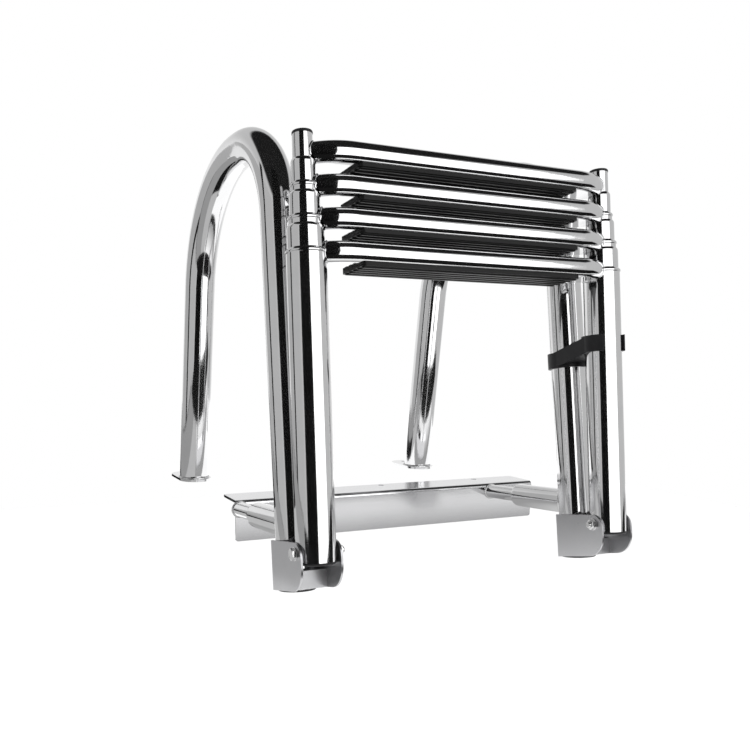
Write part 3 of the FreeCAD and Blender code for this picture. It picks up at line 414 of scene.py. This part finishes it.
def seams(node, touches):
    """The longest closed edge around the faces of a node that touch another piece, in a list."""
    mesh = nodes[node].data
    rims = {}
    for face in mesh.polygons:
        if not touches(face.center, face.normal):
            continue
        corners = [mesh.vertices[k].co for k in face.vertices]
        spots = [tuple(round(part * SNAPS_PER_METRE) for part in corner) for corner in corners]
        for first, last in zip(spots, spots[1:] + spots[:1]):
            if first != last:
                key = (min(first, last), max(first, last))
                rims[key] = rims.get(key, 0) + 1
    ways = {}
    for (first, last), count in rims.items():
        if count == 1:
            ways.setdefault(first, []).append(last)
            ways.setdefault(last, []).append(first)
    loops = []
    while ways:
        spot = start = next(iter(ways))
        loop = []
        while ways.get(spot):
            after = ways[spot].pop()
            ways[after].remove(spot)
            loop.append(Vector(spot) / SNAPS_PER_METRE)
            spot = after
        for done in [key for key, value in ways.items() if not value]:
            del ways[done]
        if spot == start and len(loop) > 5:
            loops.append(loop)
    loops.sort(key=lambda loop: -sum((a - b).length for a, b in zip(loop, loop[1:])))
    return loops[:1]


def evenly(points, closed, gap):
    """Points at equal steps along a line, smoothed a little."""
    corners = points + points[:1] if closed else points
    spans = [(b - a).length for a, b in zip(corners, corners[1:])]
    whole = sum(spans)
    count = max(8, int(whole / gap))
    result, reached, k = [], 0.0, 0
    for step in range(count if closed else count + 1):
        wanted = whole * step / count
        while k < len(spans) - 1 and reached + spans[k] < wanted:
            reached += spans[k]
            k += 1
        share = (wanted - reached) / spans[k] if spans[k] else 0.0
        result.append(corners[k].lerp(corners[k + 1], min(1.0, share)))
    for _ in range(3):
        before = result[-1:] + result[:-1] if closed else result[:1] + result[:-1]
        after = result[1:] + result[:1] if closed else result[1:] + result[-1:]
        result = [(a + b * 2 + c) / 4 for a, b, c in zip(before, result, after)]
    return result


def bead(path, closed, around, radius, ripple, pitch=1.4, gap=0.45):
    """Rings of a weld bead along a path that goes round an axis."""
    spots = evenly(path, closed, gap * MM)
    rings = []
    total = len(spots)
    for k, spot in enumerate(spots):
        ahead = spots[(k + 1) % total] if closed or k + 1 < total else spot
        behind = spots[k - 1] if closed or k else spot
        along = (ahead - behind).normalized()
        side = (around - along * around.dot(along)).normalized()
        other = along.cross(side)
        size = radius * (1 + ripple * math.sin(2 * math.pi * k * gap / pitch))
        if not closed:
            size *= min(1.0, 0.3 + 0.25 * min(k, total - 1 - k))
        rings.append([spot + (side * math.cos(t) + other * math.sin(t)) * size * MM
                      for t in (2 * math.pi * j / 8 for j in range(8))])
    return rings, closed


print("seam helpers are ready")

# %% [markdown]
# Three joints on each side of the frame are welded: the sleeve on the front leg, the arm on
# the edge angle, and the rear leg on its foot plate. Round the sleeve the bead rises and
# falls, because the end of the sleeve is cut to the shape of the leg.

# %% Weld beads on the frame
RAIL = (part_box("left_rail_plug")[1].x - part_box("left_rail_plug")[0].x) / 2
LEG_LEAN = math.radians(8.8)
LEG_UP = Vector((0, math.sin(LEG_LEAN), math.cos(LEG_LEAN)))
FRAME_RIPPLE = 0.10
ALONG_X, ALONG_Y, ALONG_Z = Vector((1, 0, 0)), Vector((0, 1, 0)), Vector((0, 0, 1))


def round_tube(loops, shift, around, radius):
    """Closed beads along some loops, each moved a little along the axis that they go round."""
    moved = [[spot + around * (shift * MM) for spot in loop] for loop in loops]
    return [bead(loop, True, around, radius, FRAME_RIPPLE) for loop in moved]


frame_beads = 0
for side in ("left", "right"):
    low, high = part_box(side + "_rail_plug")
    leg_foot = (low + high) / 2

    def on_leg(spot, normal):
        """Whether a face lies against the front leg, which the sleeve's end is cut to."""
        away = spot - leg_foot
        away -= LEG_UP * away.dot(LEG_UP)
        return abs(away.length - RAIL) < CLOSE and away.dot(normal) < 0

    sleeve = seams(side + "_arm_sleeve", on_leg)
    arm = seams(side + "_arm_tube", lambda spot, normal: normal.y > 0.99)
    foot = seams(side + "_hoop_rail", lambda spot, normal: normal.z < -0.99 and spot.y > 0)
    parts = round_tube(sleeve, 0.0, ALONG_Y, 1.6)
    parts += round_tube(arm, -0.4, ALONG_Y, 1.4)
    parts += round_tube(foot, 0.3, ALONG_Z, 1.7)
    frame_beads += len(parts)
    skin(side + "_frame_welds", parts, polished, "base", 60.0)
print("beads on the frame:", frame_beads)

# %% [markdown]
# A step of the lowest section is welded right round its stiles. The other steps sit at the
# tops of theirs, where the next tube's neck leaves no room below, so their beads stay open.

# %% Weld beads of the steps
SECTIONS = ("outer", "second", "third", "inner")
STILE_RADIUS = {"outer": 19.05, "second": 15.875, "third": 12.7, "inner": 9.525}
STEP_RIPPLE = 0.05
OPEN_BELOW = -4.0 * MM


def climb(spot):
    """How far a point lies up the ladder from its hinge."""
    return (spot - PIVOT).dot(STILE_UP)


for section in SECTIONS:
    low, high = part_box(section + "_step")
    level = climb((low + high) / 2)
    parts = []
    for side in ("left", "right"):
        low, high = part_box("%s_%s_stile" % (side, section))
        middle = Vector(((low.x + high.x) / 2, PIVOT.y, PIVOT.z))

        def on_stile(spot, normal):
            """Whether a face lies against the stile, which the step's nose is cut to."""
            away = spot - middle
            away -= STILE_UP * away.dot(STILE_UP)
            close = abs(away.length - STILE_RADIUS[section] * MM) < CLOSE
            return close and away.normalized().dot(normal) < -0.5

        for loop in seams(section + "_step", on_stile):
            if section == "outer":
                parts.append(bead(loop, True, ALONG_X, 0.9, STEP_RIPPLE))
                continue
            start = min(range(len(loop)), key=lambda k: climb(loop[k]))
            loop = loop[start:] + loop[:start]
            kept = [spot for spot in loop if climb(spot) - level > OPEN_BELOW]
            parts.append(bead(kept, False, ALONG_X, 1.2, STEP_RIPPLE))
    skin(section + "_step_welds", parts, polished, section + "_section", 60.0)
    print(section, "step beads:", len(parts))

# %% [markdown]
# Each tread pad has five broad ribs along it, rounded at their ends, so that a wet foot holds.
# A rib is a low arch drawn along the pad, and its last few arches shrink to a blunt tip.

# %% Tread ribs
RIB_PITCH = 8.4
RIB_WIDTH = 5.6
RIB_HEIGHT = 1.5
RIBS = 5
PAD_MARGIN = 1.2
SUNK = 0.05


def rib(centre, reach):
    """Rings of one rib that stands down from a point, along X."""
    half = RIB_WIDTH / 2
    ends = [(math.sin(t), math.cos(t)) for t in (math.pi / 2 * k / 5 for k in range(6))]
    stations = [(-reach + half * (1 - c), max(0.06, s)) for s, c in ends]
    stations += [(-run, scale) for run, scale in reversed(stations)]
    rings = []
    for run, scale in stations:
        ring = []
        for k in range(9):
            t = math.pi * k / 8
            across = half * scale * math.cos(t) * MM
            down = RIB_HEIGHT * min(1.0, scale * 1.3) * math.sin(t) ** 0.6 * MM
            ring.append(centre + ALONG_X * (run * MM) + STILE_BACK * across - STILE_UP * down)
        rings.append(ring)
    return rings, False


for section in SECTIONS:
    low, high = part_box(section + "_tread_pad")
    spots = [Vector(spot.co) for spot in nodes[section + "_tread_pad"].data.vertices]
    face = min(climb(spot) for spot in spots)
    depths = [(spot - PIVOT).dot(STILE_BACK) for spot in spots]
    middle = (min(depths) + max(depths)) / 2
    reach = (high.x - low.x) / 2 / MM - PAD_MARGIN
    parts = []
    for k in range(-(RIBS // 2), RIBS // 2 + 1):
        centre = PIVOT + STILE_UP * (face + SUNK * MM) + STILE_BACK * (middle + k * RIB_PITCH * MM)
        parts.append(rib(centre, reach))
    skin(section + "_tread_ribs", parts, rubber, section + "_section", 50.0)
print("ribs:", RIBS * len(SECTIONS))

# %% [markdown]
# The photograph has no floor and no horizon, only white. The ladder swings out and hangs below
# its platform, so the pale floor lies under the lowest step that it can reach, and takes
# the soft shadow there. The world is white for the camera. A polished tube shows little but
# the room around it, so the room matters more than the lamps: it has pale walls up to head
# height and a dark ceiling.

# %% Floor and world
SLIDES = ("second_slide", "third_slide", "inner_slide")
hang = max(climb(corner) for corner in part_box("left_end_cap"))
hang += sum(joints[name]["range_m"][1] for name in SLIDES)
FLOOR_GAP = 0.03
bpy.ops.mesh.primitive_plane_add(size=12.0, location=(0, 0, PIVOT.z - hang - FLOOR_GAP))
floor = bpy.context.object
floor.name = "studio_floor"
paper = Finish("studio_paper", Roughness=0.9)
paper.feed("Base Color", paper.tint(paper.noise(3.0), (0.91, 0.91, 0.91, 1), (0.93, 0.93, 0.93, 1)))
floor.data.materials.append(paper.material)
floor.visible_glossy = False

WALL = 0.62
BACK_WALL = 0.95
UPPER_WALL = 0.62
CEILING = 0.012
CEILING_TILT = -0.15
EVEN_LIGHT = 1.12
world = bpy.data.worlds.new("studio_world")
bpy.context.scene.world = world
world.use_nodes = True
sky = world.node_tree
sky.nodes.clear()


def sky_node(kind, settings=None, values=None):
    """A node of the world, with its sockets filled or linked; it gives its first output."""
    made = sky.nodes.new(kind)
    for name, value in (settings or {}).items():
        setattr(made, name, value)
    for name, value in (values or {}).items():
        if isinstance(value, bpy.types.NodeSocket):
            sky.links.new(value, made.inputs[name])
        else:
            made.inputs[name].default_value = value
    return made.outputs[0] if made.outputs else None


def ramp(value, start, end, low, high):
    """A number that goes softly from low to high while another goes from start to end."""
    values = {"Value": value, "From Min": start, "From Max": end, "To Min": low, "To Max": high}
    return sky_node("ShaderNodeMapRange", {"interpolation_type": "SMOOTHSTEP"}, values)


def glow(strength):
    """A white background."""
    return sky_node("ShaderNodeBackground", None, {"Color": (1, 1, 1, 1), "Strength": strength})


way = sky.nodes.new("ShaderNodeSeparateXYZ")
sky.links.new(sky.nodes.new("ShaderNodeTexCoord").outputs["Generated"], way.inputs[0])
depth, height = way.outputs["Y"], way.outputs["Z"]
tilted = sky_node("ShaderNodeMath", {"operation": "MULTIPLY_ADD"},
                  {0: depth, 1: CEILING_TILT, 2: height})
overhead = ramp(tilted, 0.60, 0.68, 0.0, 1.0)
upper = ramp(height, 0.20, 0.60, BACK_WALL, UPPER_WALL)
walls = ramp(depth, 0.2, 0.7, WALL, upper)
room = sky_node("ShaderNodeMix", {"data_type": "FLOAT"}, {0: overhead, 2: walls, 3: CEILING})
path = sky.nodes.new("ShaderNodeLightPath")
lit = sky_node("ShaderNodeMixShader", None,
               {0: path.outputs["Is Glossy Ray"], 1: glow(EVEN_LIGHT), 2: glow(room)})
seen = sky_node("ShaderNodeMixShader", None,
                {0: path.outputs["Is Camera Ray"], 1: lit, 2: glow(1.0)})
sky_node("ShaderNodeOutputWorld", None, {0: seen})
print("world nodes:", len(sky.nodes))

# %% [markdown]
# In front stand the photographer's cards. A tall soft box to the right of the camera gives the
# white stripe on every tube, a black card around the camera gives the black stripe beside it,
# and pale cards at the left keep the edges light. Under the ladder lies a table top with a
# white, a dark and a grey field, which the rear legs and the left hoop mirror. Close to the
# ladder the table's glow is turned down, a painted shade. Only reflections see the cards and the table.

# %% Cards around the ladder
def card(name, low, high, left, right, glow):
    """An upright card between two floor points, lit by itself. Only reflections show it."""
    shape = bpy.data.meshes.new(name)
    corners = [(*left, low), (*right, low), (*right, high), (*left, high)]
    shape.from_pydata(corners, [], [(0, 1, 2, 3)])
    made = bpy.data.objects.new(name, shape)
    bpy.context.collection.objects.link(made)
    finish = bpy.data.materials.new(name + "_glow")
    finish.use_nodes = True
    shader = finish.node_tree.nodes["Principled BSDF"]
    shader.inputs["Base Color"].default_value = (0, 0, 0, 1)
    shader.inputs["Specular IOR Level"].default_value = 0.0
    shader.inputs["Emission Color"].default_value = (1, 1, 1, 1)
    shader.inputs["Emission Strength"].default_value = glow
    shape.materials.append(finish)
    made.visible_camera = False
    made.visible_shadow = False
    made.visible_diffuse = False
    return made


card("soft_box", -0.60, 0.88, (-0.296, -1.02), (0.93, -1.12), 1.9)
card("black_card", -0.75, 2.20, (-0.98, -0.62), (-0.30, -1.03), 0.004)
card("left_card", -0.60, 0.85, (-1.05, 0.24), (-1.02, -0.50), 0.55)
card("left_gap", -0.60, 1.10, (-1.03, 0.42), (-1.06, 0.24), 0.01)
card("left_far", -0.60, 0.90, (-0.70, 1.40), (-1.03, 0.42), 0.50)


def patch(name, spots, glow, shade_share=1.0):
    """A patch of the table by four floor points; its glow dims to a share at the last two, which paints shade
    there.
    """
    made = card(name, 0, 0, (0, 0), (0, 0), glow)
    level = cad_box[0].z + 0.001
    made.data.vertices.foreach_set("co", [part for x, y in spots for part in (x, y, level)])
    tree = made.data.materials[0].node_tree
    place = tree.nodes.new("ShaderNodeSeparateXYZ")
    graded = tree.nodes.new("ShaderNodeMapRange")
    tree.links.new(tree.nodes.new("ShaderNodeTexCoord").outputs["Object"], place.inputs[0])
    tree.links.new(place.outputs["Y"], graded.inputs["Value"])
    values = {"From Min": spots[0][1], "From Max": spots[2][1], "To Min": 1.0, "To Max": shade_share}
    for socket, value in values.items():
        graded.inputs[socket].default_value = value
    tree.links.new(graded.outputs[0], tree.nodes["Principled BSDF"].inputs["Emission Color"])


patch("table_edge", [(-0.9, -0.78), (1.3, -0.78), (1.3, -0.28), (-0.9, -0.28)], 0.01)
# The table top's glow dims towards the ladder, and the strip right beside the ladder glows dimly: painted shade of
# the table close to the ladder.
patch("table_top", [(-0.24, -0.28), (0.75, -0.28), (0.75, -0.05), (-0.22, -0.05)], 1.35, 0.31)
patch("table_near_shade", [(-0.22, -0.05), (0.75, -0.05), (0.75, 0.02), (-0.21, 0.02)], 0.42)
patch("table_white", [(-0.21, 0.02), (0.9, 0.02), (1.2, 2.6), (0.12, 2.6)], 1.30)
patch("table_side", [(-0.47, -0.28), (-0.24, -0.28), (-0.18, 0.2), (-0.415, 0.2)], 0.60)
patch("table_dark", [(-0.415, 0.2), (-0.18, 0.2), (0.12, 2.6), (-0.14, 2.6)], 0.01)
patch("table_grey", [(-0.97, -0.28), (-0.47, -0.28), (-0.14, 2.6), (-0.64, 2.6)], 0.38)
patch("table_line", [(-1.02, -0.28), (-0.97, -0.28), (-0.64, 2.6), (-0.69, 2.6)], 0.05)
print("cards are up")

# %% [markdown]
# Two broad lamps light what isn't mirror-like: the paper, the plastic and the brushed sheet.

# %% Lamps
def soft_lamp(name, spot, target, size, watts):
    """A large square lamp turned to a point, unseen in the polished tubes."""
    light = bpy.data.lights.new(name, "AREA")
    light.size = size
    light.energy = watts
    lamp = bpy.data.objects.new(name, light)
    lamp.location = spot
    lamp.rotation_euler = (Vector(target) - Vector(spot)).to_track_quat("-Z", "Y").to_euler()
    lamp.visible_glossy = False
    bpy.context.collection.objects.link(lamp)
    return lamp


soft_lamp("key_lamp", (0.6, -1.2, 2.4), (0, 0, 0.1), 2.2, 30)
soft_lamp("fill_lamp", (-1.8, 0.6, 1.9), (0, 0, 0.2), 1.6, 12)
print("lit")
